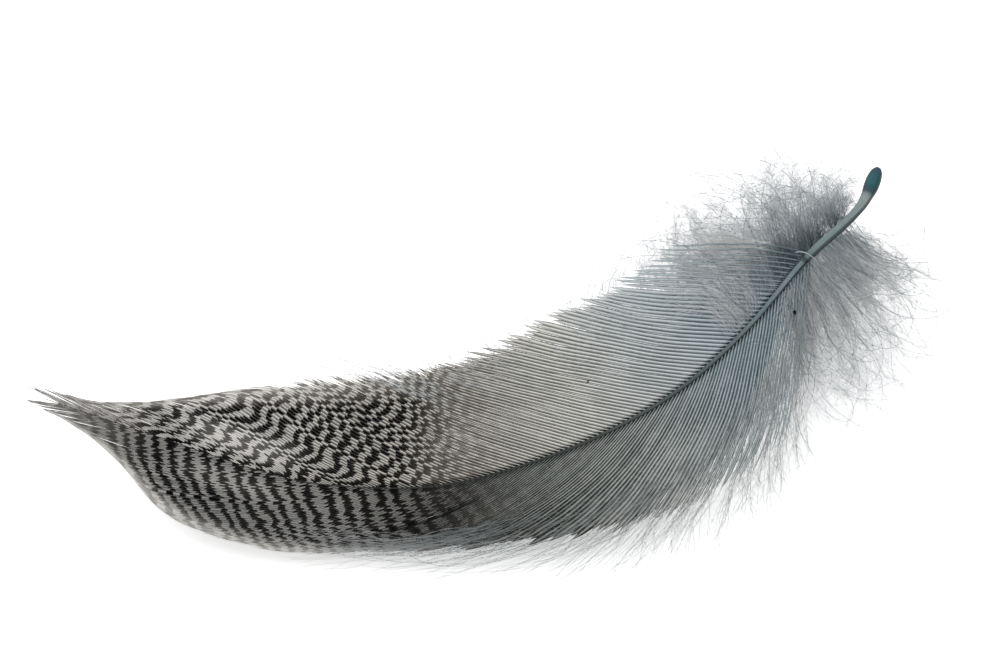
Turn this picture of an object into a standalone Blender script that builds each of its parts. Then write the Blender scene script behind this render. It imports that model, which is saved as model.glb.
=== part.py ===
"""Flank feather of a drake mallard, lying on its curved back with the hollow side up.

The feather grew as one piece, so it is one solid: quill, shaft, two vanes and the down at the base.
The vanes are modelled as locks of barbs and the down as leaf-shaped locks, all joined into one body.
X runs along the feather with the quill at +X, Y points to the far vane, and the floor is at z = 0.
"""
import math
import random

import bmesh
import bpy
from mathutils import Vector

MM = 0.001

# Middle line of the shaft in millimetres, from the quill's end to the feather's tip
SHAFT_ROUTE = [
    (39.4, 8.3, 18.2),
    (37.2, 5.2, 16.2),
    (31.4, 3.8, 11.8),
    (24.0, -0.2, 7.2),
    (16.2, -3.7, 4.2),
    (7.6, -5.8, 2.1),
    (-1.0, -6.7, 0.8),
    (-9.2, -6.6, 0.2),
    (-16.8, -4.9, 0.2),
    (-23.8, -2.4, 0.8),
    (-36.0, 3.4, 4.4),
    (-45.8, 6.3, 9.7),
]

# Rings of the shaft: the stations of those on the quill, then even steps from a start to the tip
QUILL_STATIONS = [0.0, 0.25, 0.8, 1.6, 2.6, 3.6, 4.4, 6.0, 8.0, 10.0, 11.6, 13.0]
SHAFT_START = 15
SHAFT_STEPS = 30
SHAFT_SIDES = 8
SAME_POINT = 0.01

# Tables by station: millimetres along the shaft from the quill's end, then the value there
SHAFT_RADIUS = [(0, 0.3), (0.5, 0.68), (1.4, 0.84), (3.2, 0.68), (4.2, 0.52), (8, 0.6), (11.5, 0.55),
                (13, 0.42), (60, 0.4), (97, 0.3)]
NEAR_WIDTH = [(10, 11.5), (24, 12.5), (36, 13.3), (48, 11.8), (58, 10.4), (68, 10.6), (76, 10.2),
              (82, 8.9), (88, 4.9), (93, 2.3), (100, 0.8)]
FAR_WIDTH = [(10, 11.5), (21, 12.2), (30, 13.2), (40, 13.9), (50, 13.2), (62, 12.4), (70, 11.0),
             (77, 8.6), (85, 4.2), (91, 1.8), (100, 0.7)]
NEAR_REACH = [(10, 16), (28, 17), (38, 21.5), (60, 22), (72, 18.5), (85, 10), (98, 2.5)]
FAR_REACH = [(10, 13), (20, 13), (30, 18), (47, 20), (58, 19.5), (72, 16.5), (85, 10.5), (98, 2.5)]
NEAR_ANGLE = [(10, 35), (28, 33), (38, 27), (62, 26), (72, 27), (85, 20), (98, 12)]
FAR_ANGLE = [(10, 42), (24, 50), (34, 45), (47, 39), (58, 28), (72, 18), (85, 12), (98, 10)]

# Cross slope of the vanes in degrees: at the shaft, and SLOPE_RUN millimetres out from it
FAR_SLOPES = (8, 24)
NEAR_SLOPES = (2, 13)
NEAR_SLOPES_MORE = (6, 14)
NEAR_MORE_STATION = 57
NEAR_MORE_SPREAD = 13
SLOPE_RUN = 12.5

# The locks of barbs that make up the vanes
FIRST_BARB = 10.0
LOCKS = 26
STEPS_ALONG_BARB = 7
BEND_AT = 0.5
GAP_DEPTH = 0.1
TIP_UNEVENNESS = 0.04
VANE_THICKNESS = 0.6
LOCK_RIDGE = 0.12

# The down: tips of its locks in millimetres, in order round each fan, and the stations they grow from
NEAR_DOWN_TIPS = [(42.8, 7.6, 11.0), (46.1, 5.4, 8.5), (48.2, 2.3, 6.0), (47.1, -0.4, 3.2),
                  (44.3, -3.4, 1.2), (40.3, -6.4, -0.3), (36.3, -8.5, -0.3), (31.3, -10.7, -0.3)]
NEAR_DOWN_ROOTS = (5.8, 13.4)
FAR_DOWN_TIPS = [(39.0, 10.9, 14.2), (37.8, 13.7, 13.6), (36.4, 16.1, 12.6), (34.8, 18.9, 11.6),
                 (33.0, 21.7, 10.6), (30.4, 22.5, 9.6), (27.6, 20.7, 8.8), (24.0, 18.3, 8.0),
                 (19.8, 15.7, 7.2)]
FAR_DOWN_ROOTS = (6.0, 20.0)
LOW_DOWN_TIPS = [(42.8, 4.1, -0.3), (40.6, 9.6, -0.3), (35.6, 13.6, -0.3), (29.8, 15.6, -0.3),
                 (23.6, 15.3, -0.3)]
LOW_DOWN_ROOTS = (7.3, 15.1)
FRINGE_TIPS = [(25.8, -14.5, 0.6), (21.4, -18.3, 1.0), (15.4, -20.9, 1.4), (8.8, -22.3, 1.7),
               (1.4, -21.9, 1.9), (-8.0, -19.1, 2.2)]
FRINGE_ROOTS = (11.0, 32.0)
FRINGE_START = 0.72
DOWN_ROOT_WIDTH = 0.9
DOWN_WIDTH = 3.0
DOWN_TIP_WIDTH = 0.5
DOWN_CROWN = 0.35
DOWN_THICKNESS = 0.6
DOWN_ARCH = 2.4
FRINGE_ARCH = 0.4
DOWN_STEPS = 7

FLOOR_BLOCK = 200.0
SEED = 7


def clear_scene():
    for old in list(bpy.data.objects):
        bpy.data.objects.remove(old)


def new_collection(name):
    collection = bpy.data.collections.new(name)
    bpy.context.scene.collection.children.link(collection)
    return collection


def hermite(a, b, slope_a, slope_b, span, t):
    """Smooth step from a to b, where t runs from 0 to 1 over the span."""
    return (
        (2 * t**3 - 3 * t**2 + 1) * a
        + (t**3 - 2 * t**2 + t) * span * slope_a
        + (3 * t**2 - 2 * t**3) * b
        + (t**3 - t**2) * span * slope_b
    )


def smooth(places, values, x):
    """Value at x of a smooth curve through the values, which carries on straight past its ends."""
    last = len(places) - 1

    def slope(i):
        low = max(i - 1, 0)
        high = min(i + 1, last)
        return (values[high] - values[low]) / (places[high] - places[low])

    if x <= places[0]:
        return values[0] + slope(0) * (x - places[0])
    if x >= places[last]:
        return values[last] + slope(last) * (x - places[last])
    i = max(k for k in range(last) if places[k] <= x)
    span = places[i + 1] - places[i]
    return hermite(values[i], values[i + 1], slope(i), slope(i + 1), span, (x - places[i]) / span)


def from_table(table, x):
    places = [row[0] for row in table]
    values = [row[1] for row in table]
    return smooth(places, values, x)


ROUTE = [Vector(point) for point in SHAFT_ROUTE]
STATIONS = [0.0]
for start, end in zip(ROUTE, ROUTE[1:]):
    STATIONS.append(STATIONS[-1] + (end - start).length)
LENGTH = STATIONS[-1]


def shaft_point(station):
    return smooth(STATIONS, ROUTE, station)


def shaft_frame(station):
    """Direction to the tip, level direction to the near side, and the way up from the vanes."""
    along = (shaft_point(station + 0.5) - shaft_point(station - 0.5)).normalized()
    near = Vector((0, 0, 1)).cross(along).normalized()
    return along, near, along.cross(near)


def slopes(side, station):
    if side < 0:
        return FAR_SLOPES
    more = math.exp(-(((station - NEAR_MORE_STATION) / NEAR_MORE_SPREAD) ** 2))
    return tuple(base + more * extra for base, extra in zip(NEAR_SLOPES, NEAR_SLOPES_MORE))


def vane_point(side, station, out):
    """Point of a vane: side is 1 for the near vane and -1 for the far one, out is from the shaft."""
    along, near, up = shaft_frame(station)
    first, last = [math.radians(angle) for angle in slopes(side, station)]
    bend = (last - first) / SLOPE_RUN
    sideways = (math.sin(first + bend * out) - math.sin(first)) / bend
    rise = (math.cos(first) - math.cos(first + bend * out)) / bend
    return shaft_point(station) + near * side * sideways + up * rise


def barb_place(side, root, t):
    """Station and distance from the shaft at t of the barb that grows at the root station."""
    tip_station = root + from_table(NEAR_REACH if side > 0 else FAR_REACH, root)
    tip_out = from_table(NEAR_WIDTH if side > 0 else FAR_WIDTH, tip_station)
    angle = math.radians(from_table(NEAR_ANGLE if side > 0 else FAR_ANGLE, root))
    hold = BEND_AT * math.hypot(tip_station - root, tip_out)
    station = root + 2 * t * (1 - t) * hold * math.cos(angle) + t * t * (tip_station - root)
    out = 2 * t * (1 - t) * hold * math.sin(angle) + t * t * tip_out
    return station, out


def feather_material():
    material = bpy.data.materials.new("feather_grey")
    material.use_nodes = True
    shader = material.node_tree.nodes["Principled BSDF"]
    shader.inputs["Base Color"].default_value = (0.42, 0.43, 0.42, 1)
    shader.inputs["Roughness"].default_value = 0.6
    shader.inputs["Metallic"].default_value = 0.0
    return material


def tube(name, points, radii, sides, collection):
    """Closed mesh tube through the points, made as a bevelled curve with filled caps."""
    curve = bpy.data.curves.new(name, "CURVE")
    curve.dimensions = "3D"
    curve.bevel_depth = MM
    curve.bevel_resolution = sides // 2 - 2
    curve.use_fill_caps = True
    spline = curve.splines.new("POLY")
    spline.points.add(len(points) - 1)
    for target, point, radius in zip(spline.points, points, radii):
        target.co = (*(point * MM), 1)
        target.radius = radius
    guide = bpy.data.objects.new(name + "_curve", curve)
    collection.objects.link(guide)
    bpy.context.view_layer.update()
    evaluated = guide.evaluated_get(bpy.context.evaluated_depsgraph_get())
    mesh = bpy.data.meshes.new_from_object(evaluated)
    bm = bmesh.new()
    bm.from_mesh(mesh)
    bmesh.ops.remove_doubles(bm, verts=bm.verts, dist=SAME_POINT * MM)
    bm.to_mesh(mesh)
    bm.free()
    solid = bpy.data.objects.new(name, mesh)
    solid.matrix_world = guide.matrix_world
    collection.objects.link(solid)
    bpy.data.objects.remove(guide)
    return solid


def shaft(collection):
    """The quill, whose swollen end needs rings close together, and the shaft in even steps."""
    step = (LENGTH - SHAFT_START) / SHAFT_STEPS
    stations = QUILL_STATIONS + [SHAFT_START + step * i for i in range(SHAFT_STEPS + 1)]
    points = [shaft_point(station) for station in stations]
    radii = [from_table(SHAFT_RADIUS, station) for station in stations]
    return tube("shaft", points, radii, SHAFT_SIDES, collection)


def thick_sheet(name, rows, thickness, collection):
    """Closed body made of a sheet, given as rows of points in millimetres, that gets a thickness."""
    bm = bmesh.new()
    lines = [[bm.verts.new(point * MM) for point in row] for row in rows]
    for low, high in zip(lines, lines[1:]):
        for a, b, c, d in zip(low, low[1:], high[1:], high):
            bm.faces.new((a, b, c, d))
    bmesh.ops.recalc_face_normals(bm, faces=bm.faces)
    mesh = bpy.data.meshes.new(name)
    bm.to_mesh(mesh)
    bm.free()
    sheet = bpy.data.objects.new(name, mesh)
    collection.objects.link(sheet)
    solidify = sheet.modifiers.new("thickness", "SOLIDIFY")
    solidify.thickness = thickness * MM
    solidify.offset = 0
    return sheet


def barb_line(side, root, length, lift):
    """Points along the barb that grows at the root station, from beside the shaft to its tip."""
    points = []
    for step in range(1, STEPS_ALONG_BARB + 1):
        t = step / STEPS_ALONG_BARB
        station, out = barb_place(side, root, t * length)
        points.append(vane_point(side, station, out) + shaft_frame(station)[2] * lift * t)
    return points


def vanes(collection):
    """Both vanes as one sheet that crosses the shaft, with a V gap between each two locks."""
    chance = random.Random(SEED)
    rows = []
    for line in range(2 * LOCKS + 1):
        root = FIRST_BARB + (LENGTH - FIRST_BARB) * line / (2 * LOCKS)
        in_lock = line % 2 == 1
        length = 1 - TIP_UNEVENNESS * chance.random() if in_lock else 1 - GAP_DEPTH
        lift = LOCK_RIDGE if in_lock else -LOCK_RIDGE
        far = barb_line(-1, root, length, lift)
        near = barb_line(1, root, length, lift)
        rows.append([*reversed(far), shaft_point(root), *near])
    return thick_sheet("feather", rows, VANE_THICKNESS, collection)


def down_lock(name, root, tip, arch, collection):
    """One lock of down: a crowned leaf shape that arches out from its root and droops to its tip."""
    middle = (root + tip) / 2 + Vector((0, 0, arch))
    across = (tip - root).cross(Vector((0, 0, 1))).normalized()
    rows = []
    for step in range(DOWN_STEPS + 1):
        t = step / DOWN_STEPS
        centre = (1 - t) ** 2 * root + 2 * t * (1 - t) * middle + t * t * tip
        belly = math.sin(math.pi * t) * (DOWN_WIDTH - DOWN_ROOT_WIDTH)
        half = (DOWN_ROOT_WIDTH + (DOWN_TIP_WIDTH - DOWN_ROOT_WIDTH) * t + belly) / 2
        crown = Vector((0, 0, DOWN_CROWN * math.sin(math.pi * t)))
        rows.append([centre - across * half, centre + crown, centre + across * half])
    return thick_sheet(name, rows, DOWN_THICKNESS, collection)


def down(collection):
    """Fans of locks round the base of the shaft, and a fringe past the edge of the near vane."""
    fans = [
        ("near_down", NEAR_DOWN_TIPS, NEAR_DOWN_ROOTS, 0, DOWN_ARCH),
        ("far_down", FAR_DOWN_TIPS, FAR_DOWN_ROOTS, 0, DOWN_ARCH),
        ("low_down", LOW_DOWN_TIPS, LOW_DOWN_ROOTS, 0, DOWN_ARCH),
        ("fringe", FRINGE_TIPS, FRINGE_ROOTS, FRINGE_START, FRINGE_ARCH),
    ]
    for fan, tips, (first, last), start, arch in fans:
        for number, tip in enumerate(tips):
            station = first + (last - first) * number / (len(tips) - 1)
            root = vane_point(1, *barb_place(1, station, start))
            down_lock(f"{fan}_{number}", root, Vector(tip), arch, collection)


def floor_block(collection):
    bpy.ops.mesh.primitive_cube_add(size=FLOOR_BLOCK * MM, location=(0, 0, -FLOOR_BLOCK / 2 * MM))
    block = bpy.context.object
    block.name = "floor_block"
    for owner in list(block.users_collection):
        owner.objects.unlink(block)
    collection.objects.link(block)
    return block


def as_guide(solid):
    solid.hide_render = True
    solid.display_type = "WIRE"


def join_all(body, collection):
    """Joins every solid of the collection to the body; the exact solver leaves open edges here."""
    for solid in collection.objects:
        as_guide(solid)
    boolean = body.modifiers.new("join", "BOOLEAN")
    boolean.operation = "UNION"
    boolean.operand_type = "COLLECTION"
    boolean.collection = collection
    boolean.solver = "MANIFOLD"


def cut_away(body, block):
    as_guide(block)
    boolean = body.modifiers.new("cut", "BOOLEAN")
    boolean.operation = "DIFFERENCE"
    boolean.object = block
    boolean.solver = "MANIFOLD"


def main():
    clear_scene()
    parts = new_collection("mallard_flank_feather")
    joined = new_collection("joined_to_the_vanes")
    cutters = new_collection("cutters")
    feather = vanes(parts)
    feather.data.materials.append(feather_material())
    shaft(joined)
    down(joined)
    join_all(feather, joined)
    cut_away(feather, floor_block(cutters))


main()
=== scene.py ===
"""Looks of a drake mallard's flank feather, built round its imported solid.

Each barb of the two vanes is a narrow ribbon of its own with a raised middle. The down and the soft edge
are plumes: a fine barb with hair-like barbules on both its sides. Lengths are in millimetres until a mesh
is made, and a station is the distance along the shaft from the quill's end. The near vane is side 1 and
the far vane is side -1.
"""
import math

import bpy
import numpy as np
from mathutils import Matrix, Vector


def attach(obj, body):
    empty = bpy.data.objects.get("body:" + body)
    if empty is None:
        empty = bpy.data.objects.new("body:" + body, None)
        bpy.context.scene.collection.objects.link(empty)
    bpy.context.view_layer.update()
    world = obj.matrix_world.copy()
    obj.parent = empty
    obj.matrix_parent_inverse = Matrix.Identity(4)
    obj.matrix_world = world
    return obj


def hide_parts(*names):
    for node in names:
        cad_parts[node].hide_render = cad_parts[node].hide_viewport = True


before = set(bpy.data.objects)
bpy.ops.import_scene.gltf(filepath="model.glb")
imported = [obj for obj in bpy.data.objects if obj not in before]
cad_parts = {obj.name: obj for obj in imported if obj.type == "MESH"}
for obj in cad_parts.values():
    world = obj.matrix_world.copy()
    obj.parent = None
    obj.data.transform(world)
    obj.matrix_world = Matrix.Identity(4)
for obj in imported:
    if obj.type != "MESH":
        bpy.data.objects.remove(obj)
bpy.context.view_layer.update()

MM = 0.001
FULL_TURN = 2 * math.pi
UPWARD = np.array((0.0, 0.0, 1.0))

# Camera: the angle and framing of the photograph
AZIMUTH = -14.0
ELEVATION = 50.0
LENS = 100.0
SENSOR = 36.0
DISTANCE = 283.33
LOOK_AT = (0.8, 8.6, 3.2)

# Middle line of the shaft from the quill's end to the tip, as in the solid to within 0.3
SHAFT_ROUTE = [
    (39.7, 8.2, 18.2),
    (36.95, 5.26, 16.2),
    (31.4, 3.8, 11.8),
    (24.0, -0.2, 7.2),
    (16.2, -3.7, 4.2),
    (7.6, -5.8, 2.1),
    (-1.0, -6.7, 0.8),
    (-9.2, -6.6, 0.2),
    (-16.8, -4.9, 0.2),
    (-23.8, -2.4, 0.8),
    (-36.0, 3.4, 4.4),
    (-45.8, 6.3, 9.7),
]

# Tables by station: the shaft's radius, and how far out the edges of the vanes are
SHAFT_RADIUS = [(0, 0.25), (0.4, 0.56), (1.4, 0.76), (2.3, 0.74), (3.0, 0.62), (3.9, 0.54), (5, 0.49),
                (9, 0.48), (11.4, 0.46), (12.6, 0.35), (17, 0.31), (24, 0.28), (34, 0.25), (50, 0.17),
                (60, 0.11), (76, 0.06), (97, 0.03)]
NEAR_WIDTH = [(10, 11.5), (24, 12.5), (36, 13.3), (48, 11.8), (58, 10.4), (68, 10.6), (76, 10.2),
              (82, 8.9), (88, 4.9), (93, 2.3), (100, 0.8)]
FAR_WIDTH = [(10, 11.5), (21, 12.2), (30, 13.2), (40, 13.9), (50, 13.2), (62, 12.4), (70, 11.0),
             (77, 8.6), (85, 4.2), (91, 1.8), (100, 0.7)]

# Rings of the shaft: from and to, and how many, on the swollen end; then from where on and how many
QUILL_RINGS = (0, 4, 18)
SHAFT_START = 4.3
SHAFT_RINGS = 150
SHAFT_SIDES = 20
GROOVE = 0.12

# Tables by the station of a barb's root: how far on its tip is, and the degrees at which it leaves the shaft
NEAR_REACH = [(10, 16), (28, 17), (38, 21.5), (60, 22), (72, 18.5), (85, 10), (92, 5.5), (98, 2.5)]
FAR_REACH = [(10, 8), (15, 11), (20, 13), (30, 18), (47, 20), (58, 19.5), (72, 16.5), (85, 10),
             (92, 5.5), (98, 2.5)]
NEAR_ANGLE = [(10, 35), (28, 33), (38, 27), (62, 26), (72, 27), (85, 20), (98, 12)]
FAR_ANGLE = [(10, 68), (16, 58), (24, 50), (34, 45), (47, 39), (58, 28), (72, 18), (85, 12), (98, 10)]

# Cross slope of the vanes in degrees: at the shaft, and SLOPE_RUN millimetres out from it
FAR_SLOPES = (8, 24)
NEAR_SLOPES = (2, 13)
NEAR_SLOPES_MORE = (6, 14)
NEAR_MORE_STATION = 57
NEAR_MORE_SPREAD = 13
SLOPE_RUN = 12.5

# Barbs of the vanes, and the station of the root at which the near vane has parted
BARBS = 158
BARB_POINTS = 37
FIRST_BARB = 11.0
LAST_BARB = 95.0
BEND_AT = 0.5
BARB_CREST = 0.09
BARB_OVERLAP = 0.6
BARB_GAPS = (0.08, 0.7)
BARB_PROFILE = [(-1, 0), (-0.42, 0.3), (0, 1), (0.42, 0.3), (1, 0), (0, -0.5)]
BARB_TILT = 0.12
LENGTH_SPREAD = (-0.06, 0.03)
LONGER_TIPS = 0.16
DRIFT_BARBS = 6
DRIFT = 0.25
RIPPLES = 2.6
RIPPLE_SIZE = 0.09
PARTING = 47.6
OVERLAP_LIFT = 0.35

# Stations between which the barbs change
DOWNY_END = (18, 34)
LOOSENED_END = (12, 24)
THIN_END = (11.5, 19.0)
BARS_BEGIN = (47, 61)
PALE_EDGE_BEGINS = (50, 62)
TIP_BARBS_BEGIN = (70, 94)
TIP_FADES = (84, 96)

# Bars across the vanes: how far one bar is from the next, and how they lean and bend
NEAR_BARS = {"period": 1.73, "lean": 0.3, "bend": 0.04, "ragged": 0.25}
FAR_BARS = {"period": 1.89, "lean": 0.5, "bend": 0.0, "ragged": 0.4}

# Down: tips of its fans and the stations they grow from, close to those of the solid's locks
NEAR_DOWN_TIPS = [(42.6, 3.9, 9.4), (45.4, 3.0, 7.4), (47.6, 1.4, 5.4), (47.1, -0.6, 3.2),
                  (44.3, -3.4, 1.2), (40.3, -6.4, 0.3), (36.3, -8.5, 0.3), (31.3, -10.7, 0.3),
                  (26.2, -14.4, 0.6)]
NEAR_DOWN_ROOTS = (5.8, 15.4)
NEAR_SAG = (-1.4, -2.8, -1.6)
FAR_DOWN_TIPS = [(38.2, 13.0, 13.8), (37.6, 14.2, 13.4), (36.4, 16.1, 12.6), (34.8, 18.9, 11.6),
                 (33.0, 21.7, 10.6), (30.4, 22.5, 9.6), (27.6, 20.7, 8.8), (24.0, 18.3, 8.0),
                 (19.8, 15.7, 7.2), (15.6, 13.8, 6.4)]
FAR_DOWN_ROOTS = (6.4, 21.5)
LOW_DOWN_TIPS = [(42.8, 4.1, 0.3), (40.6, 9.6, 0.3), (35.6, 13.6, 0.3), (29.8, 15.6, 0.3),
                 (23.6, 15.3, 0.3)]
LOW_DOWN_ROOTS = (7.3, 15.1)
NO_SAG = (0.0, 0.0, 0.0)

# Soft edges of the vanes: tips in order, the stations that their plumes grow from, and how far they trail
FAR_FRINGE_TIPS = [(24.0, 18.3, 8.0), (19.8, 15.7, 7.2), (13.6, 13.0, 6.0), (6.4, 10.6, 4.6),
                   (-0.6, 9.4, 3.8), (-8.0, 8.6, 3.4), (-16.0, 9.4, 3.6)]
FAR_FRINGE_ROOTS = (11.0, 44.0)
FRINGE_TIPS = [(25.8, -14.5, 0.6), (21.4, -18.3, 1.0), (15.4, -20.9, 1.4), (8.8, -22.3, 1.7),
               (1.4, -21.9, 1.9), (-8.0, -19.1, 2.2), (-14.6, -16.6, 2.3), (-20.0, -14.4, 2.5)]
FRINGE_ROOTS = (11.0, 40.0)
FRINGE_TRAIL = 12.0

# Spread of the plumes' roots, tips and middles, and the least and most of the way that they reach
ROOT_SPREAD = 0.7
TIP_SPREAD = 1.4
MIDDLE_SPREAD = 0.6
PLUME_REACH = (0.42, 1.14)
WAVE = 0.3

# Steps along the hairs, their radii, and the length of the barbules
PLUME_STEPS = 14
LOOSE_STEPS = 26
FRINGE_STEPS = 22
PLUME_RADIUS = 0.02
BARBULE_RADIUS = 0.0125
BARBULE_LENGTH = 3.0
FRINGE_RADIUS = 0.028
FRINGE_BARBULE_RADIUS = 0.011
LIGHT_RADIUS = 0.02
DARK_RADIUS = 0.03
HAIR_PROFILE = [(0.0, 1.0), (0.87, -0.5), (-0.87, -0.5)]

# Tone of the loose hairs, and the share of them that is light
LIGHT_TONE = 1.3
DARK_TONE = -1.5
LIGHT_SHARE = 0.4

# Heights below which no hair or barb goes
LOWEST = 0.12
LOWEST_BARBULE = 0.05

# Single barbs out of place: the first lies across the shaft and is pale
LOOSE_BARB_STEPS = 24
LOOSE_BARB_RADII = (0.075, 0.025, 0.02, 0.02)
LOOSE_BARB_TONES = (2.5, -1.0, -0.5, 0.0)
OVER_SHAFT = 0.62

# The dark crumb: where it lies on the near vane, how far it is moved from there, and its size
CRUMB_STATION = 17.0
CRUMB_OUT = 2.8
CRUMB_LIFT = (-0.05, -0.2, 0.25)
CRUMB_DIRECTION = (0.25, 0.97, 0.0)
CRUMB_HALF_LENGTH = 0.3
CRUMB_HALF_WIDTH = 0.17

# Station and distance out of a dark speck on the far vane, which is colour only
FAR_SPECK = (38.0, 5.75)


def unit(vectors):
    return vectors / np.maximum(np.linalg.norm(vectors, axis=-1, keepdims=True), 1e-9)


def hermite(a, b, slope_a, slope_b, span, t):
    """Smooth step from a to b, where t runs from 0 to 1 over the span."""
    return (
        (2 * t**3 - 3 * t**2 + 1) * a
        + (t**3 - 2 * t**2 + t) * span * slope_a
        + (3 * t**2 - 2 * t**3) * b
        + (t**3 - t**2) * span * slope_b
    )


def smooth(places, values, x):
    """Values at x of a smooth curve through the values, which carries on straight past its ends."""
    places = np.asarray(places, float)
    values = np.asarray(values, float)
    x = np.asarray(x, float)
    last = len(places) - 1
    low = np.maximum(np.arange(last + 1) - 1, 0)
    high = np.minimum(np.arange(last + 1) + 1, last)
    gaps = places[high] - places[low]
    if values.ndim > 1:
        gaps = gaps[:, None]
    slopes = (values[high] - values[low]) / gaps
    i = np.clip(np.searchsorted(places, x, side="right") - 1, 0, last - 1)
    span = places[i + 1] - places[i]
    t = (x - places[i]) / span
    if values.ndim > 1:
        span, t, x = span[..., None], t[..., None], x[..., None]
    inside = hermite(values[i], values[i + 1], slopes[i], slopes[i + 1], span, t)
    before = values[0] + slopes[0] * (x - places[0])
    after = values[last] + slopes[last] * (x - places[last])
    return np.where(t < 0, before, np.where(t > 1, after, inside))


def from_table(table, x):
    return smooth([row[0] for row in table], [row[1] for row in table], x)


ROUTE = np.array(SHAFT_ROUTE)
STATIONS = np.concatenate([[0], np.cumsum(np.linalg.norm(np.diff(ROUTE, axis=0), axis=1))])
LENGTH = STATIONS[-1]


def shaft_point(station):
    return smooth(STATIONS, ROUTE, station)


def shaft_frame(station):
    """Direction to the tip, level direction to the near side, and the way up from the vanes."""
    station = np.asarray(station, float)
    along = unit(shaft_point(station + 0.5) - shaft_point(station - 0.5))
    near = unit(np.cross(UPWARD, along))
    return along, near, np.cross(along, near)


def slopes(side, station):
    if side < 0:
        return FAR_SLOPES
    more = np.exp(-(((station - NEAR_MORE_STATION) / NEAR_MORE_SPREAD) ** 2))
    return [base + more * extra for base, extra in zip(NEAR_SLOPES, NEAR_SLOPES_MORE)]


def vane_point(side, station, out):
    """Points of a vane: side is 1 for the near vane and -1 for the far one, out is from the shaft."""
    along, near, up = shaft_frame(station)
    first, last = [np.radians(angle) for angle in slopes(side, station)]
    bend = (last - first) / SLOPE_RUN
    sideways = (np.sin(first + bend * out) - np.sin(first)) / bend
    rise = (np.cos(first) - np.cos(first + bend * out)) / bend
    return shaft_point(station) + near * side * sideways[..., None] + up * rise[..., None]


def barb_place(side, root, t):
    """Stations and distances from the shaft at t of the barbs that grow at the root stations."""
    tip_station = root + from_table(NEAR_REACH if side > 0 else FAR_REACH, root)
    tip_out = from_table(NEAR_WIDTH if side > 0 else FAR_WIDTH, tip_station)
    angle = np.radians(from_table(NEAR_ANGLE if side > 0 else FAR_ANGLE, root))
    hold = BEND_AT * np.hypot(tip_station - root, tip_out)
    station = root + 2 * t * (1 - t) * hold * np.cos(angle) + t * t * (tip_station - root)
    out = 2 * t * (1 - t) * hold * np.sin(angle) + t * t * tip_out
    return station, out


def ease(low, high, x):
    """0 below low, 1 above high, and a smooth step in between."""
    t = np.clip((x - low) / (high - low), 0, 1)
    return t * t * (3 - 2 * t)


def bounded(chance, shape):
    """Random numbers from a bell curve that is cut off at both its ends."""
    return np.clip(chance.normal(0, 1, shape), -1.3, 1.3)


def new_piece(name, points, faces, attributes, material):
    """Mesh object from points in millimetres, arrays of faces, and vectors stored at the points."""
    mesh = bpy.data.meshes.new(name)
    mesh.vertices.add(len(points))
    mesh.vertices.foreach_set("co", (points * MM).astype(np.float32).ravel())
    corners = np.concatenate([part.ravel() for part in faces])
    sizes = np.concatenate([np.full(len(part), part.shape[1]) for part in faces])
    starts = np.concatenate([[0], np.cumsum(sizes)[:-1]])
    mesh.loops.add(len(corners))
    mesh.loops.foreach_set("vertex_index", corners.astype(np.int32))
    mesh.polygons.add(len(sizes))
    mesh.polygons.foreach_set("loop_start", starts.astype(np.int32))
    mesh.update(calc_edges=True)
    for title, vectors in attributes.items():
        layer = mesh.attributes.new(title, "FLOAT_VECTOR", "POINT")
        layer.data.foreach_set("vector", vectors.astype(np.float32).ravel())
    mesh.shade_smooth()
    mesh.materials.append(material)
    piece = bpy.data.objects.new(name, mesh)
    bpy.context.scene.collection.objects.link(piece)
    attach(piece, "root")
    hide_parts("feather")
    return piece


def tubes(paths, across, up, profile, half_widths, heights, values):
    """Closed tubes that end in a point: points, faces, and each value spread to the points.

    Paths, across and up are arrays of tubes, steps and coordinates. The profile gives the corners
    of each ring in half-widths and heights, and a value is a list of three arrays per step."""
    profile = np.asarray(profile, float)
    count, steps = paths.shape[:2]
    corners = len(profile)
    wide = half_widths[:, :, None, None] * profile[None, None, :, 0, None]
    high = heights[:, :, None, None] * profile[None, None, :, 1, None]
    rings = paths[:, :, None, :] + across[:, :, None, :] * wide + up[:, :, None, :] * high
    body = rings[:, :-1].reshape(count, (steps - 1) * corners, 3)
    points = np.concatenate([body, paths[:, -1:]], axis=1)
    per_tube = points.shape[1]

    first = (np.arange(count) * per_tube)[:, None, None]
    ring = (np.arange(steps - 2) * corners)[None, :, None]
    here = np.arange(corners)[None, None, :]
    after = (here + 1) % corners
    low = first + ring
    sides = np.stack([low + here, low + after, low + corners + after, low + corners + here], axis=-1)
    end = (np.arange(count) * per_tube + (steps - 2) * corners)[:, None]
    here, after = here[0], after[0]
    tip = np.broadcast_to(end + corners, (count, corners))
    tips = np.stack([end + here, end + after, tip], axis=-1)
    starts = (np.arange(count) * per_tube)[:, None] + np.arange(corners)[::-1][None, :]
    faces = [sides.reshape(-1, 4), tips.reshape(-1, 3), starts]

    spread = {}
    for title, parts in values.items():
        full = np.stack(np.broadcast_arrays(*[part[:, :, None] for part in parts]), axis=-1)
        full = np.broadcast_to(full, (count, steps, corners, 3)).copy()
        spread[title] = full
    return points.reshape(-1, 3), faces, spread


def at_points(spread, corners):
    """Values at the rings as one row for each point of the tubes, whose last ring is one point."""
    count, steps = spread.shape[:2]
    body = spread[:, :-1].reshape(count, (steps - 1) * corners, 3)
    return np.concatenate([body, spread[:, -1:, 0]], axis=1).reshape(-1, 3)


def tube_piece(name, paths, across, up, profile, half_widths, heights, values, material):
    """Tubes as a mesh object; the third number of "place" becomes the place across the tube."""
    points, faces, spread = tubes(paths, across, up, profile, half_widths, heights, values)
    if "place" in spread:
        spread["place"][..., 2] = np.asarray(profile)[None, None, :, 0]
    attributes = {title: at_points(full, len(profile)) for title, full in spread.items()}
    return new_piece(name, points, faces, attributes, material)


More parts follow.
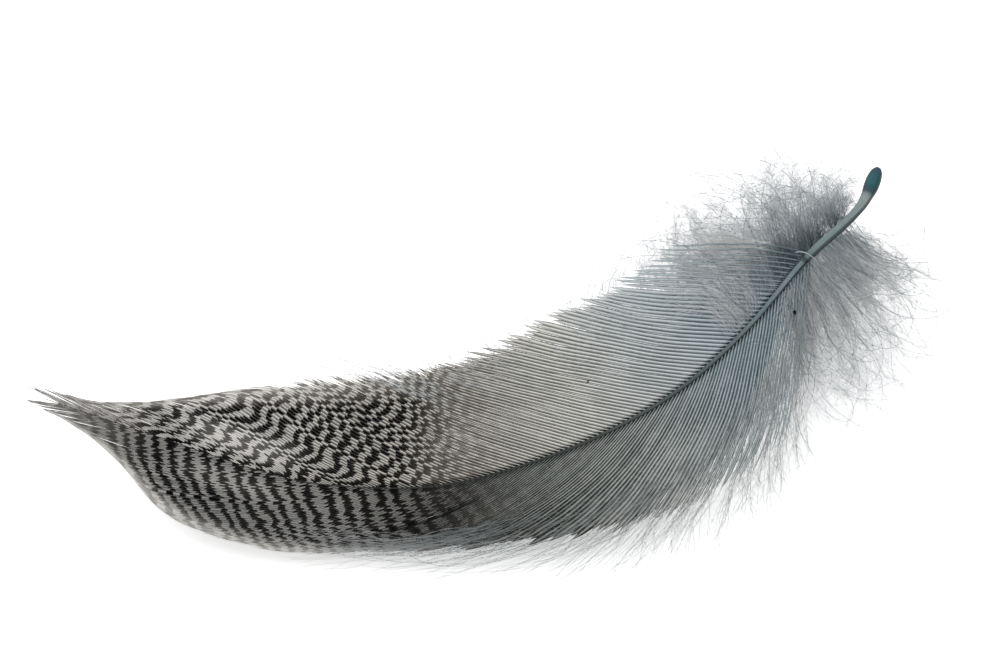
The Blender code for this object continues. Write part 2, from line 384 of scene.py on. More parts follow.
def sideways(paths, up):
    """Directions along the paths, square across them, and square up from them."""
    along = unit(np.gradient(paths, axis=1))
    across = unit(np.cross(along, up))
    return along, across, np.cross(across, along)


def barb_lines(side, roots, t):
    """Stations and distances out of barbs that bend along the edge of the vane instead of across it."""
    station, out = barb_place(side, roots, t)
    edge = np.maximum(from_table(NEAR_WIDTH if side > 0 else FAR_WIDTH, station), 0.3)
    share = out / edge
    bent = 0.7 + 0.3 * np.tanh((share - 0.7) / 0.3)
    closed = ease(26, 44, roots) if side > 0 else ease(40, 58, roots)
    share = np.where(share > 0.7, share + (bent - share) * closed, share)
    return station, edge * share


def spacing(paths, across):
    """How far each point of each path is from the next path, square across the paths."""
    wide = np.abs(np.sum(np.diff(paths, axis=0) * across[:-1], axis=-1))
    return np.concatenate([wide, wide[-1:]])


def barb_middles(side, chance, roots, t):
    """Stations and distances out of the barbs' middles, the way up there, and their gaps and strays."""
    tipness = ease(*TIP_BARBS_BEGIN, roots)
    longer = 1 + LONGER_TIPS * ease(40, 58, roots) * (1 - tipness)
    length = longer * (1 + chance.uniform(*LENGTH_SPREAD, (BARBS, 1)))
    station, out = barb_lines(side, roots, t * length)
    drift = wander(chance, BARBS, DRIFT_BARBS)[:, None]
    station = station + DRIFT * drift * t**2
    up = shaft_frame(station)[2]
    even_station, even_out = barb_lines(side, roots, t * longer)
    even_paths = vane_point(side, even_station, even_out)
    apart = np.clip(spacing(even_paths, sideways(even_paths, up)[1]), *BARB_GAPS)

    stray = bounded(chance, (BARBS, 1))
    ripple = np.sin(FULL_TURN * (RIPPLES * t + 0.35 * drift + chance.uniform(0, 0.25, (BARBS, 1))))
    loosened = 1 - ease(*LOOSENED_END, roots)
    station = station + t**2 * (0.03 + 0.12 * tipness + 0.15 * loosened) * stray
    out = out + RIPPLE_SIZE * apart * ripple * ease(0, 0.2, t)
    out = out + t**2 * (0.13 * apart + 0.1 * tipness) * bounded(chance, (BARBS, 1))
    return station, np.maximum(out, 0.03), up, apart, drift, stray


def barb_paths(side, chance, roots, t, station, out, up):
    """Middles of the barbs in space with the ways across and up, and which of them lie over others."""
    tipness = ease(*TIP_BARBS_BEGIN, roots)
    lift = chance.normal(0, 0.03, (BARBS, 1)) * t + tipness * chance.normal(0, 0.1, (BARBS, 1)) * t**2
    over = np.exp(-(((roots - PARTING - 1.4) / 0.8) ** 2)) * ease(0.15, 0.4, t) * (side > 0)
    lift = lift + OVERLAP_LIFT * over * (1 - ease(0.6, 0.9, t))
    paths = vane_point(side, station, out) + up * lift[..., None]
    paths[..., 2] = np.maximum(paths[..., 2], LOWEST)
    along, across, up = sideways(paths, up)
    across = unit(across + side * BARB_TILT * up)
    return paths, across, np.cross(across, along), over


def barb_widths(side, roots, t, station, apart, downy):
    """Half-widths of the barbs, which are narrow at the base of the vane and at their free tips."""
    half_width = BARB_OVERLAP * (1 + 0.25 * ease(50, 62, roots)) * apart
    free = ease(0.91, 1.0, t)
    half_width = half_width * (1 + 0.25 * ease(0.35, 0.7, t)) * (1 - 0.75 * free)
    half_width = half_width * (1 - 0.4 * ease(*TIP_FADES, station))
    base = 1 - ease(*THIN_END, roots)
    half_width = half_width * (1 - (0.5 if side > 0 else 0.7) * base)
    return half_width * (1 - (0.55 if side > 0 else 0.15) * downy)


def vane(name, side, seed, bars, material):
    """All barbs of one vane, each a ribbon that narrows to a free tip, with the marks of its bars."""
    chance = np.random.default_rng(seed)
    roots = FIRST_BARB + (LAST_BARB - FIRST_BARB) * (np.arange(BARBS) + 0.5) / BARBS
    roots = roots[:, None]
    t = np.linspace(0, 1, BARB_POINTS)[None, :]
    station, out, up, apart, drift, stray = barb_middles(side, chance, roots, t)
    paths, across, up, over = barb_paths(side, chance, roots, t, station, out, up)
    downy = ease(0.0, 0.5, t - 0.3 * ease(12, 20, roots)) * (1 - ease(*DOWNY_END, roots))
    half_width = barb_widths(side, roots, t, station, apart, downy)
    crest = BARB_CREST * (1 - 0.6 * t)

    lean = bars["lean"] * out + bars["bend"] * ease(62, 75, station) * out**2
    phase = (station + lean + bars["ragged"] * stray + DRIFT * drift) / bars["period"]
    strength = ease(*BARS_BEGIN, station + 0.15 * out) * (1 - 0.65 * ease(*TIP_FADES, station))
    share = out / np.maximum(from_table(NEAR_WIDTH if side > 0 else FAR_WIDTH, station), 0.3)
    pale_edge = ease(0.72, 0.95, share) * ease(*PALE_EDGE_BEGINS, station) * (1.0 if side > 0 else 0.6)
    strength = strength * (1 - 0.5 * pale_edge)
    tone = 0.5 + 0.17 * bounded(chance, (BARBS, 1)) + 0.9 * downy + 0.35 * over
    # Painted shadow: tone drops along the parting of the near vane, which the material turns near black, as
    # shadow under the barbs that lie over it.
    parted = np.exp(-(((roots - PARTING) / 0.7) ** 2)) * ease(0.12, 0.3, t) * (1 - ease(0.6, 0.9, t))
    tone = tone - 0.5 * parted * (side > 0) + 2.8 * pale_edge
    values = {"place": [station, out, out], "bars": [phase, strength, tone]}
    return tube_piece(name, paths, across, up, BARB_PROFILE, half_width, crest, values, material)


def wander(chance, count, every):
    """Slowly changing random numbers, about -1 to 1, in step along the barbs."""
    knots = chance.normal(0, 0.6, count // every + 3)
    return smooth(np.arange(len(knots)) * every, knots, np.arange(count))


def shaft(material):
    """The quill with its swollen end and the shaft, with a shallow groove along its upper side."""
    rings = np.concatenate([np.linspace(*QUILL_RINGS), np.linspace(SHAFT_START, LENGTH, SHAFT_RINGS)])
    paths = shaft_point(rings)[None]
    radius = from_table(SHAFT_RADIUS, rings)[None]
    paths[..., 2] = np.maximum(paths[..., 2], radius + 0.01)
    up = shaft_frame(rings)[2][None]
    across, up = sideways(paths, up)[1:]
    angles = np.arange(SHAFT_SIDES) * FULL_TURN / SHAFT_SIDES
    profile = np.stack([np.sin(angles), np.cos(angles) * (1 - GROOVE * (np.cos(angles) > 0.9))], axis=-1)
    values = {"place": [rings[None], radius, radius]}
    return tube_piece("shaft", paths, across, up, profile, radius, radius, values, material)


def curled(chance, start, middle, end, steps, curl, from_t):
    """Wavy paths that bend from start to end and whose last part curls round."""
    count = len(start)
    axis = unit(chance.normal(0, 0.45, (count, 3)) + UPWARD)
    t = np.linspace(0, 1, steps)[None, :, None]
    start, middle, end = start[:, None], middle[:, None], end[:, None]
    paths = (1 - t) ** 2 * start + 2 * t * (1 - t) * middle + t * t * end
    moves = np.diff(paths, axis=1)
    angle = (curl[:, None] * ease(from_t, 1.0, t[:, 1:, 0]))[..., None]
    axis = axis[:, None]
    moves = (
        moves * np.cos(angle)
        + np.cross(axis, moves) * np.sin(angle)
        + axis * np.sum(axis * moves, axis=-1, keepdims=True) * (1 - np.cos(angle))
    )
    paths = np.concatenate([start, start + np.cumsum(moves, axis=1)], axis=1)
    turns = chance.uniform(0.8, 2.4, (count, 1, 1)) * t
    waves = np.sin(FULL_TURN * (turns + chance.uniform(0, 1, (count, 1, 1))))
    swing = chance.normal(0, WAVE, (count, 1, 3)) * ease(0, 0.4, t)
    paths = paths + swing * waves
    paths[..., 2] = np.maximum(paths[..., 2], LOWEST)
    return paths


def along_paths(paths, t):
    """Points on the paths at t, an array with a row for each path."""
    steps = paths.shape[1] - 1
    place = np.clip(t * steps, 0, steps - 1e-6)
    low = place.astype(int)
    part = (place - low)[..., None]
    row = np.arange(len(paths))[:, None]
    return paths[row, low] * (1 - part) + paths[row, low + 1] * part


def barbules(chance, paths, per_side, length, bare_from):
    """Middle lines of the barbules on both sides of the paths, three points each."""
    count = len(paths)
    total = 2 * per_side
    t = (np.arange(total)[None, :] // 2 + chance.uniform(0, 1, (count, total))) / per_side
    t = 0.02 + 0.98 * t
    base = along_paths(paths, t)
    along = unit(along_paths(paths, np.minimum(t + 0.03, 1)) - along_paths(paths, t - 0.03))
    flat = unit(np.cross(along, UPWARD))
    over = np.cross(flat, along)
    side = np.where(np.arange(total) % 2 == 0, 1.0, -1.0)[None, :, None]
    lean = np.radians(chance.uniform(15, 58, (count, total, 1)))
    roll = np.radians(chance.normal(0, 36, (count, total, 1)))
    outward = side * flat * np.cos(roll) + over * np.sin(roll)
    first = along * np.cos(lean) + outward * np.sin(lean)
    second = unit(first + chance.normal(0, 0.35, first.shape) + 0.6 * along)
    size = length * chance.uniform(0.4, 1.25, (count, total)) * (1 - 0.35 * t)
    size = size * (1 - 0.7 * ease(bare_from, 1, t))
    half = 0.5 * size[..., None]
    lines = np.stack([base, base + first * half, base + (first + second) * half], axis=2)
    lines[..., 2] = np.maximum(lines[..., 2], LOWEST_BARBULE)
    return lines.reshape(-1, 3, 3), t.reshape(-1)


def hairs(name, parts, material):
    """One piece of many fine hairs: parts are (paths, radii at the steps, values) with any step count."""
    points, faces, place = [], [], []
    shift = 0
    for paths, radii, values in parts:
        along = unit(np.gradient(paths, axis=1))
        across = unit(np.cross(along, np.array((0.02, 0.03, 1.0))))
        up = np.cross(across, along)
        p, f, spread = tubes(paths, across, up, HAIR_PROFILE, radii, radii, {"place": values})
        points.append(p)
        faces.append([part + shift for part in f])
        place.append(at_points(spread["place"], len(HAIR_PROFILE)))
        shift += len(p)
    sized = {}
    for group in faces:
        for part in group:
            sized.setdefault(part.shape[1], []).append(part)
    joined = [np.concatenate(same) for same in sized.values()]
    return new_piece(name, np.concatenate(points), joined, {"place": np.concatenate(place)}, material)


def plumes(chance, paths, per_side, length, radius, fine, bare_from, lighter):
    """Parts for hairs(): fine barbs along the paths, with their barbules."""
    count = len(paths)
    t = np.broadcast_to(np.linspace(0, 1, paths.shape[1])[None, :], paths.shape[:2])
    tone = np.broadcast_to(chance.uniform(0, 1, (count, 1)) + lighter, t.shape)
    radii = radius * (1 - 0.65 * t)
    lines, where = barbules(chance, paths, per_side, length, bare_from)
    thin = fine * np.array((1.0, 0.8, 0.0))[None, :] * np.ones((len(lines), 1))
    line_tone = np.repeat(tone[:, :1], 2 * per_side, axis=1).reshape(-1)
    where = np.broadcast_to(where[:, None], thin.shape)
    line_tone = np.broadcast_to(line_tone[:, None], where.shape)
    return [(paths, radii, [t, tone, t]), (lines, thin, [where, line_tone, where])]


def evenly(chance, count):
    """Rising random numbers from 0 to 1 with no gaps between them."""
    return (np.arange(count) + chance.uniform(0, 1, count)) / count


def fan(chance, count, tips, roots, side, arch, sag, crowd):
    """Starts, middles and ends of plumes that fill a fan of the down, and their shares along it.

    The lower crowd is, the more of them are near the last tips. The first of them sag."""
    u = evenly(chance, count) ** crowd
    tips = np.array(tips)
    station = roots[0] + np.abs((roots[1] - roots[0]) * u + chance.normal(0, ROOT_SPREAD, count))
    end = smooth(np.arange(len(tips)), tips, u * (len(tips) - 1))
    near = shaft_frame(station)[1]
    radius = from_table(SHAFT_RADIUS, station)[:, None]
    start = shaft_point(station) + near * side * radius * 0.7
    reach = chance.uniform(*PLUME_REACH, (count, 1))
    end = start + (end - start) * reach + chance.normal(0, TIP_SPREAD, (count, 3)) * reach
    middle = (start + end) / 2 + np.array((0.0, 0.0, arch)) * reach
    middle = middle + chance.normal(0, MIDDLE_SPREAD, (count, 3))
    middle = middle + np.array(sag) * (1 - ease(0, 0.6, u))[:, None]
    return start, middle, end, u


def down_piece(name, seed, count, tips, roots, side, arch, sag, crowd, per_side, loose, curl, material):
    """One fan of down: plumes, and over them loose hairs that curl more and are lighter or darker."""
    chance = np.random.default_rng(seed)
    start, middle, end, u = fan(chance, count, tips, roots, side, arch, sag, crowd)
    paths = curled(chance, start, middle, end, PLUME_STEPS, chance.normal(0, 0.45 * curl, count), 0.25)
    lighter = (1.6 * ease(0.6, 0.9, u))[:, None]
    parts = plumes(chance, paths, per_side, BARBULE_LENGTH, PLUME_RADIUS, BARBULE_RADIUS, 0.85, lighter)
    start, middle, end = fan(chance, loose, tips, roots, side, arch + 0.6, sag, crowd)[:3]
    end = start + (end - start) * 1.1
    turn = chance.choice((-1.0, 1.0, 1.0, 1.0), loose) * chance.uniform(0.4, 1.3, loose) * curl
    paths = curled(chance, start, middle, end, LOOSE_STEPS, turn, 0.35)
    t = np.broadcast_to(np.linspace(0, 1, LOOSE_STEPS)[None, :], paths.shape[:2])
    light = chance.uniform(0, 1, (loose, 1)) < LIGHT_SHARE
    tone = np.where(light, LIGHT_TONE, DARK_TONE)
    thick = np.where(light, LIGHT_RADIUS, DARK_RADIUS)
    parts.append((paths, thick * (1 - 0.5 * t), [t, t * 0 + tone, t]))
    return hairs(name, parts, material)


def fringe_piece(name, seed, side, roots, tips, count, per_side, length, curl, material):
    """Soft ends of the barbs, which trail on past the closed vane to the tips given in order."""
    chance = np.random.default_rng(seed)
    u = evenly(chance, count) ** (1.0 if side > 0 else 1.4)
    root = roots[0] + (roots[1] - roots[0]) * u
    begin = chance.uniform(0.55, 0.82, count) - 0.3 * (1 - ease(14, 26, root))
    station, out = barb_place(side, root, begin)
    start = vane_point(side, station, out)
    station, out = barb_place(side, root, begin + 0.15)
    onward = unit(vane_point(side, station, out) - start)
    place = u * (len(tips) - 1)
    end = smooth(np.arange(len(tips)), np.array(tips), place)
    edge_way = unit(smooth(np.arange(len(tips)), np.array(tips), place + 0.2) - end)
    end = start + (end - start) * chance.uniform(0.66, 1.1, (count, 1)) + chance.normal(0, 0.5, (count, 3))
    reach = np.linalg.norm(end - start, axis=1)[:, None]
    trails = ease(0, 0.35, u) if side > 0 else ease(0.45, 1, u)
    trail = FRINGE_TRAIL * trails[:, None] * chance.uniform(0.2, 1, (count, 1))
    end = end + edge_way * trail
    middle = start + onward * (reach * 0.6 + trail * 0.25)
    turn = chance.normal(0, curl, count) * (1 - 0.7 * trails)
    paths = curled(chance, start, middle, end, FRINGE_STEPS, turn, 0.4)
    lighter = (1.1 * (1 - ease(0.05, 0.4, u)))[:, None]
    size = (length * (1 - 0.7 * ease(0.15, 0.5, u)))[:, None]
    parts = plumes(chance, paths, per_side, size, FRINGE_RADIUS, FRINGE_BARBULE_RADIUS, 0.7, lighter)
    return hairs(name, parts, material)


def loose_barbs(material):
    """Single barbs that have come out of place: one lies across the shaft, others trail off the edge."""
    over_shaft = shaft_point(11.8) + OVER_SHAFT * UPWARD
    lines = [
        [vane_point(-1, 12.2, 1.3), over_shaft, vane_point(1, 11.4, 1.9)],
        [vane_point(1, 59.5, 10.2), vane_point(1, 55.8, 13.6), vane_point(1, 48.2, 12.4)],
        [vane_point(1, 63.5, 10.0), vane_point(1, 58.0, 12.2), vane_point(1, 52.0, 11.6)],
        [vane_point(1, 45.0, 12.0), vane_point(1, 51.0, 15.6), vane_point(1, 58.5, 13.8)],
    ]
    lines = np.array([[p.reshape(3) for p in line] for line in lines])
    t = np.linspace(0, 1, LOOSE_BARB_STEPS)[None, :, None]
    start, middle, end = [lines[:, i : i + 1] for i in range(3)]
    middle = 2 * middle - (start + end) / 2
    paths = (1 - t) ** 2 * start + 2 * t * (1 - t) * middle + t * t * end
    paths[..., 2] = np.maximum(paths[..., 2], LOWEST)
    t = np.broadcast_to(t[..., 0], paths.shape[:2])
    thick = np.array(LOOSE_BARB_RADII)[:, None]
    tone = np.array(LOOSE_BARB_TONES)[:, None]
    parts = [(paths, thick * (1 - 0.5 * t), [t * 0 + 0.3, t * 0 + tone, t])]
    return hairs("loose_barbs", parts, material)


def crumb(material):
    """A dark crumb that lies on the first barbs of the near vane."""
    steps = np.linspace(-1, 1, 9)
    middle = vane_point(1, CRUMB_STATION, CRUMB_OUT).reshape(3) + np.array(CRUMB_LIFT)
    paths = (middle + np.outer(steps, CRUMB_DIRECTION) * CRUMB_HALF_LENGTH)[None]
    across, up = sideways(paths, UPWARD)[1:]
    half_width = CRUMB_HALF_WIDTH * np.sqrt(1.1 - steps**2)[None] * (1 + 0.2 * np.sin(5 * steps))
    return tube_piece("crumb", paths, across, up, BARB_PROFILE, half_width, half_width, {}, material)


def srgb(*levels):
    """Colour given as 0 to 255 levels, as the shader wants it."""
    return tuple(
        (v / 255 / 12.92) if v / 255 <= 0.04045 else ((v / 255 + 0.055) / 1.055) ** 2.4 for v in levels
    ) + (1.0,)


class Graph:
    """Short ways to add nodes to a material."""

    def __init__(self, name):
        self.material = bpy.data.materials.new(name)
        self.material.use_nodes = True
        self.tree = self.material.node_tree
        self.shader = self.tree.nodes["Principled BSDF"]

    def put(self, target, value):
        if isinstance(value, bpy.types.NodeSocket):
            self.tree.links.new(value, target)
        else:
            target.default_value = value

    def math(self, operation, a, b=0.0, clamp=False):
        node = self.tree.nodes.new("ShaderNodeMath")
        node.operation = operation
        node.use_clamp = clamp
        self.put(node.inputs[0], a)
        self.put(node.inputs[1], b)
        return node.outputs[0]

    def step(self, value, low, high):
        node = self.tree.nodes.new("ShaderNodeMapRange")
        node.interpolation_type = "SMOOTHSTEP"
        self.put(node.inputs["Value"], value)
        node.inputs["From Min"].default_value = low
        node.inputs["From Max"].default_value = high
        return node.outputs["Result"]

    def mix(self, share, a, b):
        node = self.tree.nodes.new("ShaderNodeMix")
        node.data_type = "RGBA"
        self.put(node.inputs["Factor"], share)
        self.put(node.inputs[6], a)
        self.put(node.inputs[7], b)
        return node.outputs[2]

    def ramp(self, value, stops):
        node = self.tree.nodes.new("ShaderNodeValToRGB")
        self.put(node.inputs[0], value)
        ramp = node.color_ramp
        ramp.elements[0].position, ramp.elements[0].color = stops[0]
        ramp.elements[1].position, ramp.elements[1].color = stops[-1]
        for position, colour in stops[1:-1]:
            ramp.elements.new(position).color = colour
        return node.outputs[0]

    def parts(self, title):
        """The three numbers of a vector that is stored at the points."""
        attribute = self.tree.nodes.new("ShaderNodeAttribute")
        attribute.attribute_name = title
        split = self.tree.nodes.new("ShaderNodeSeparateXYZ")
        self.tree.links.new(attribute.outputs["Vector"], split.inputs[0])
        return split.outputs

    def vector(self, x, y, z=0.0):
        node = self.tree.nodes.new("ShaderNodeCombineXYZ")
        for socket, value in zip(node.inputs, (x, y, z)):
            self.put(socket, value)
        return node.outputs[0]

    def object_place(self):
        return self.tree.nodes.new("ShaderNodeTexCoord").outputs["Object"]

    def noise(self, where, scale, detail=2.0):
        node = self.tree.nodes.new("ShaderNodeTexNoise")
        self.put(node.inputs["Vector"], where)
        node.inputs["Scale"].default_value = scale
        node.inputs["Detail"].default_value = detail
        return node.outputs[0]

    def bump(self, height, strength, distance):
        node = self.tree.nodes.new("ShaderNodeBump")
        node.inputs["Strength"].default_value = strength
        node.inputs["Distance"].default_value = distance
        self.put(node.inputs["Height"], height)
        self.put(self.shader.inputs["Normal"], node.outputs[0])

    def finish(self, colour, roughness, specular):
        self.put(self.shader.inputs["Base Color"], colour)
        self.shader.inputs["Roughness"].default_value = roughness
        self.shader.inputs["Specular IOR Level"].default_value = specular
        return self.material


def vane_material(name, crest_stops, web_stops, first_bar, shade_out, pale_share, specks):
    """Light middles of the barbs, darker webs beside them, and dark dashes on the webs as bars, with painted
    shade beside the shaft and painted shadow along the parting of the near vane.
    """
    g = Graph(name)
    station, out, across = g.parts("place")
    phase, strength, tone = g.parts("bars")
    where = g.math("DIVIDE", station, 100.0)
    light = g.ramp(where, crest_stops)
    dark = g.ramp(where, web_stops)
    spot = g.vector(station, out)
    cloud = g.noise(spot, 0.22, 3.0)
    grain = g.noise(spot, 7.0, 3.0)
    own = g.noise(g.vector(station, g.math("MULTIPLY", tone, 60.0)), 0.9, 1.0)
    own = g.math("SUBTRACT", own, 0.5)
    web = g.step(g.math("ABSOLUTE", across), 0.1, 0.5)
    shade = g.math("ADD", web, g.math("MULTIPLY", g.math("SUBTRACT", cloud, 0.5), 0.6))
    shade = g.math("ADD", shade, g.math("MULTIPLY", own, 0.7))
    shade = g.math("ADD", shade, g.math("MULTIPLY", g.math("SUBTRACT", tone, 0.5), -0.6), clamp=True)
    colour = g.mix(shade, light, dark)
    colour = g.mix(g.math("MULTIPLY", g.step(grain, 0.45, 0.8), 0.15), colour, srgb(225, 226, 224))
    # Painted shade: the webs go near black close to the shaft, out to shade_out, as shade between the barbs'
    # roots, fading out towards the tip.
    painted_shade_by_shaft = g.math("SUBTRACT", 1.0, g.step(out, 0.5 * shade_out, shade_out))
    painted_shade_by_shaft = g.math("MULTIPLY", painted_shade_by_shaft, g.math("ADD", 0.3, g.math("MULTIPLY", web, 0.68)))
    painted_shade_by_shaft = g.math("MULTIPLY", painted_shade_by_shaft, g.math("SUBTRACT", 1.0, g.step(station, 58.0, 76.0)))
    colour = g.mix(painted_shade_by_shaft, colour, srgb(16, 26, 28))
    from_pale = g.math("ABSOLUTE", g.math("SUBTRACT", station, 77.0))
    pale = g.math("SUBTRACT", 1.0, g.step(from_pale, 2.0, 8.0))
    beside = g.step(g.math("ABSOLUTE", g.math("SUBTRACT", out, 2.4)), 0.6, 2.0)
    pale = g.math("MULTIPLY", g.math("MULTIPLY", pale, g.math("SUBTRACT", 1.0, beside)), pale_share)
    pale = g.math("MAXIMUM", pale, g.math("MULTIPLY", g.step(tone, 1.8, 3.4), 0.75))
    on_crest = g.math("SUBTRACT", 1.0, g.math("MULTIPLY", web, 0.35))
    colour = g.mix(g.math("MULTIPLY", pale, on_crest), colour, srgb(232, 229, 225))
    wobble = g.math("MULTIPLY", g.math("SUBTRACT", g.noise(spot, 0.4), 0.5), 1.1)
    wave = g.math("SINE", g.math("MULTIPLY", g.math("ADD", phase, wobble), FULL_TURN))
    wave = g.math("ADD", wave, g.math("MULTIPLY", own, 1.5))
    narrowing = g.math("MULTIPLY", g.math("POWER", across, 2.0), 1.1)
    wave = g.math("SUBTRACT", g.math("ADD", wave, 0.12), narrowing)
    bar = g.step(wave, -0.25, 0.2)
    faded = g.math("ADD", 0.88, g.math("MULTIPLY", g.noise(spot, 0.5), 0.3), clamp=True)
    bar = g.math("MULTIPLY", g.math("MULTIPLY", bar, strength), faded)
    bar = g.math("MULTIPLY", bar, g.math("SUBTRACT", 1.0, g.math("MULTIPLY", pale, 0.2)))
    seam = g.step(g.math("ABSOLUTE", across), 0.5, 0.95)
    bar = g.math("MULTIPLY", bar, g.math("SUBTRACT", 1.0, g.math("MULTIPLY", seam, 0.38)))
    black = g.mix(g.step(wave, -0.05, 0.5), srgb(38, 27, 22), srgb(4, 3, 3))
    colour = g.mix(bar, colour, g.mix(strength, first_bar, black))
    # Painted shadow: where tone is lowest, along the parting of the near vane, the colour goes near black.
    clear_of_painted_shadow = g.step(tone, -0.05, 0.3)
    colour = g.mix(clear_of_painted_shadow, srgb(10, 12, 12), colour)
    for speck in specks:
        across_speck = g.math("SUBTRACT", station, speck[0])
        out_speck = g.math("SUBTRACT", out, speck[1])
        away = g.math("ADD", g.math("POWER", across_speck, 2.0), g.math("POWER", out_speck, 2.0))
        colour = g.mix(g.step(away, 0.01, 0.05), srgb(12, 12, 14), colour)
    g.bump(grain, 0.25, 0.00005)
    return g.finish(colour, 0.7, 0.05)


def near_vane_material():
    """Grey middles and darker webs, and paler at the tip. The whole is darker than the far vane as painted
    shade, and nearly black where the bars begin, which is painted shade too.
    """
    # Painted shade: both ramps are darker than the far vane's, and darkest from 0.46 to 0.56.
    crests = [
        (0.1, srgb(142, 160, 166)),
        (0.25, srgb(162, 173, 177)),
        (0.36, srgb(170, 172, 169)),
        (0.46, srgb(134, 138, 133)),
        (0.56, srgb(96, 96, 92)),
        (0.66, srgb(146, 144, 140)),
        (0.8, srgb(150, 148, 144)),
        (1.0, srgb(206, 203, 199)),
    ]
    webs = [
        (0.1, srgb(90, 110, 118)),
        (0.25, srgb(82, 97, 102)),
        (0.36, srgb(60, 68, 67)),
        (0.46, srgb(28, 33, 30)),
        (0.56, srgb(18, 19, 17)),
        (0.66, srgb(84, 85, 83)),
        (0.8, srgb(84, 86, 86)),
        (1.0, srgb(120, 117, 113)),
    ]
    return vane_material("near_vane_barbs_painted_shade", crests, webs, srgb(50, 42, 36), 0.8, 0.3, [])


def far_vane_material():
    """Light grey middles and mid-grey webs, bluer and darker at the base, with one dark speck."""
    crests = [
        (0.11, srgb(112, 128, 134)),
        (0.16, srgb(138, 153, 159)),
        (0.25, srgb(190, 199, 203)),
        (0.4, srgb(218, 218, 212)),
        (0.52, srgb(200, 196, 189)),
        (0.66, srgb(196, 192, 185)),
        (0.78, srgb(224, 221, 217)),
        (1.0, srgb(204, 201, 197)),
    ]
    webs = [
        (0.11, srgb(78, 94, 100)),
        (0.16, srgb(96, 111, 118)),
        (0.25, srgb(140, 150, 155)),
        (0.4, srgb(142, 142, 137)),
        (0.52, srgb(106, 103, 96)),
        (0.66, srgb(110, 108, 104)),
        (0.78, srgb(134, 132, 129)),
        (1.0, srgb(118, 115, 111)),
    ]
    return vane_material("far_vane_barbs", crests, webs, srgb(92, 70, 58), 0.8, 0.75, [FAR_SPECK])


def shaft_material():
    """Dark teal swollen end, pale grey-green quill, and a shaft that darkens towards the tip, with painted
    shade along both its sides.
    """
    g = Graph("shaft_horn")
    station, _, across = g.parts("place")
    where = g.math("DIVIDE", station, 100.0)
    colour = g.ramp(where, [
        (0.0, srgb(40, 66, 82)),
        (0.012, srgb(18, 82, 92)),
        (0.02, srgb(14, 84, 88)),
        (0.027, srgb(26, 58, 66)),
        (0.03, srgb(122, 136, 136)),
        (0.034, srgb(144, 156, 153)),
        (0.06, srgb(126, 138, 140)),
        (0.092, srgb(122, 138, 138)),
        (0.115, srgb(106, 124, 126)),
        (0.15, srgb(114, 129, 131)),
        (0.195, srgb(105, 122, 122)),
        (0.24, srgb(90, 99, 102)),
        (0.29, srgb(66, 78, 78)),
        (0.36, srgb(64, 70, 66)),
        (0.42, srgb(44, 46, 40)),
        (0.5, srgb(18, 18, 15)),
        (1.0, srgb(16, 12, 10)),
    ])
    lines = g.noise(g.vector(g.math("MULTIPLY", station, 0.15), g.math("MULTIPLY", across, 5.0)), 2.0, 3.0)
    colour = g.mix(g.math("MULTIPLY", g.step(lines, 0.4, 0.7), 0.5), colour, srgb(62, 76, 78))
    # Painted shade: both sides of the quill and shaft darken towards a dark teal grey, as shade where the
    # barbs and down meet it.
    edge = g.step(g.math("ABSOLUTE", across), 0.55, 0.9)
    colour = g.mix(g.math("MULTIPLY", edge, 0.8), colour, srgb(24, 36, 38))
    from_notch = g.math("ABSOLUTE", g.math("SUBTRACT", station, 12.1))
    notch = g.math("SUBTRACT", 1.0, g.step(from_notch, 0.1, 0.45))
    colour = g.mix(g.math("MULTIPLY", notch, 0.75), colour, srgb(14, 24, 26))
    mottle = g.noise(g.object_place(), 1500.0, 2.0)
    colour = g.mix(g.math("MULTIPLY", g.step(mottle, 0.5, 0.8), 0.12), colour, srgb(30, 60, 72))
    g.bump(lines, 0.3, 0.00008)
    return g.finish(colour, 0.45, 0.28)


def crumb_material():
    """Nearly black, rough dirt."""
    g = Graph("crumb_black")
    grain = g.noise(g.object_place(), 6000.0)
    return g.finish(g.mix(grain, srgb(8, 9, 11), srgb(30, 30, 30)), 0.8, 0.1)


def down_material(name, root_colour, middle_colour, tip_colour):
    """Blue-grey down that is darker where it grows from the shaft."""
    g = Graph(name)
    t, tone, _ = g.parts("place")
    patches = g.noise(g.object_place(), 260.0, 2.0)
    share = g.math("ADD", t, g.math("MULTIPLY", g.math("SUBTRACT", tone, 0.5), 0.35))
    share = g.math("ADD", share, g.math("MULTIPLY", g.math("SUBTRACT", patches, 0.5), 0.5), clamp=True)
    colour = g.ramp(share, [(0.0, root_colour), (0.3, middle_colour), (0.8, tip_colour)])
    colour = g.mix(g.step(tone, -1.0, -0.6), srgb(120, 131, 136), colour)
    return g.finish(colour, 0.7, 0.15)


def add_camera():
    a, e = math.radians(AZIMUTH), math.radians(ELEVATION)
    ahead = Vector((-math.sin(a) * math.cos(e), math.cos(a) * math.cos(e), -math.sin(e)))
    data = bpy.data.cameras.new("camera")
    data.lens = LENS
    data.sensor_width = SENSOR
    data.clip_start = 0.01
    data.clip_end = 20.0
    camera = bpy.data.objects.new("camera", data)
    camera.location = (Vector(LOOK_AT) - ahead * DISTANCE) * MM
    camera.rotation_mode = "QUATERNION"
    camera.rotation_quaternion = ahead.to_track_quat("-Z", "Y")
    bpy.context.scene.collection.objects.link(camera)
    bpy.context.scene.camera = camera


def add_light(name, location, size, watts):
    data = bpy.data.lights.new(name, "AREA")
    data.shape = "DISK"
    data.size = size
    data.energy = watts
    light = bpy.data.objects.new(name, data)
    light.location = location
    light.rotation_mode = "QUATERNION"
    light.rotation_quaternion = (-Vector(location)).to_track_quat("-Z", "Y")
    bpy.context.scene.collection.objects.link(light)


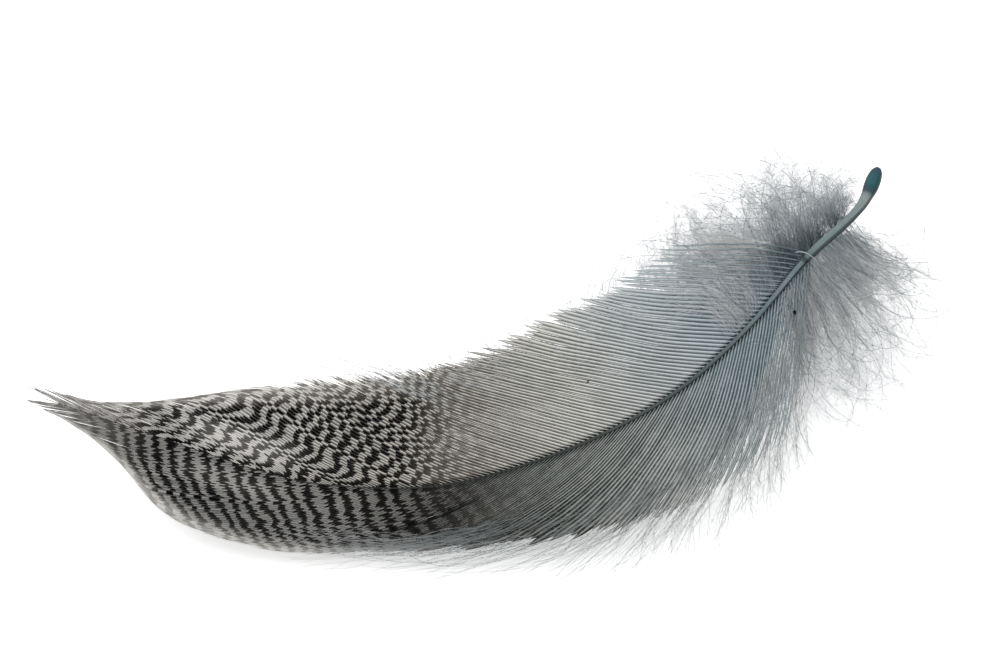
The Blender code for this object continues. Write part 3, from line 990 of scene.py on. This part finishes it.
def add_stage():
    """White floor that glows a little, as on a light table, under soft light from all round."""
    g = Graph("floor_white")
    g.put(g.shader.inputs["Emission Color"], (1, 1, 1, 1))
    g.shader.inputs["Emission Strength"].default_value = 0.5
    grain = g.noise(g.object_place(), 900.0)
    material = g.finish(g.mix(grain, (0.9, 0.9, 0.9, 1), (0.94, 0.94, 0.94, 1)), 0.9, 0.1)
    bpy.ops.mesh.primitive_plane_add(size=6.0, location=(0, 0, 0))
    floor = bpy.context.object
    floor.name = "floor"
    floor.data.materials.append(material)
    world = bpy.data.worlds.new("studio")
    world.use_nodes = True
    world.node_tree.nodes["Background"].inputs["Color"].default_value = (1, 1, 1, 1)
    world.node_tree.nodes["Background"].inputs["Strength"].default_value = 0.75
    bpy.context.scene.world = world
    add_light("key", (-0.25, 0.2, 0.6), 0.7, 2.0)
    bpy.context.scene.view_settings.view_transform = "Standard"


def main():
    add_camera()
    add_stage()
    vane("near_vane", 1, 11, NEAR_BARS, near_vane_material())
    vane("far_vane", -1, 12, FAR_BARS, far_vane_material())
    shaft(shaft_material())
    near_down = down_material("near_down_grey", srgb(176, 186, 191), srgb(214, 218, 220), srgb(224, 226, 227))
    far_down = down_material("far_down_grey", srgb(86, 102, 108), srgb(186, 194, 199), srgb(236, 238, 240))
    soft = down_material("fringe_grey", srgb(132, 141, 144), srgb(156, 161, 162), srgb(180, 184, 184))
    down_piece(
        "near_down", 21, 148, NEAR_DOWN_TIPS, NEAR_DOWN_ROOTS, 1, arch=0.6, sag=NEAR_SAG, crowd=0.6,
        per_side=36, loose=210, curl=3.2, material=near_down,
    )
    down_piece(
        "far_down", 22, 204, FAR_DOWN_TIPS, FAR_DOWN_ROOTS, -1, arch=2.4, sag=NO_SAG, crowd=0.68,
        per_side=36, loose=170, curl=2.2, material=far_down,
    )
    down_piece(
        "low_down", 23, 60, LOW_DOWN_TIPS, LOW_DOWN_ROOTS, 1, arch=2.4, sag=NO_SAG, crowd=0.8,
        per_side=50, loose=60, curl=2.2, material=near_down,
    )
    fringe_piece(
        "near_fringe", 24, 1, FRINGE_ROOTS, FRINGE_TIPS, 310, per_side=24, length=1.3, curl=0.5,
        material=soft,
    )
    fringe_piece(
        "far_fringe", 25, -1, FAR_FRINGE_ROOTS, FAR_FRINGE_TIPS, 260, per_side=24, length=1.6, curl=0.2,
        material=near_down,
    )
    loose_barbs(soft)
    crumb(crumb_material())


main()
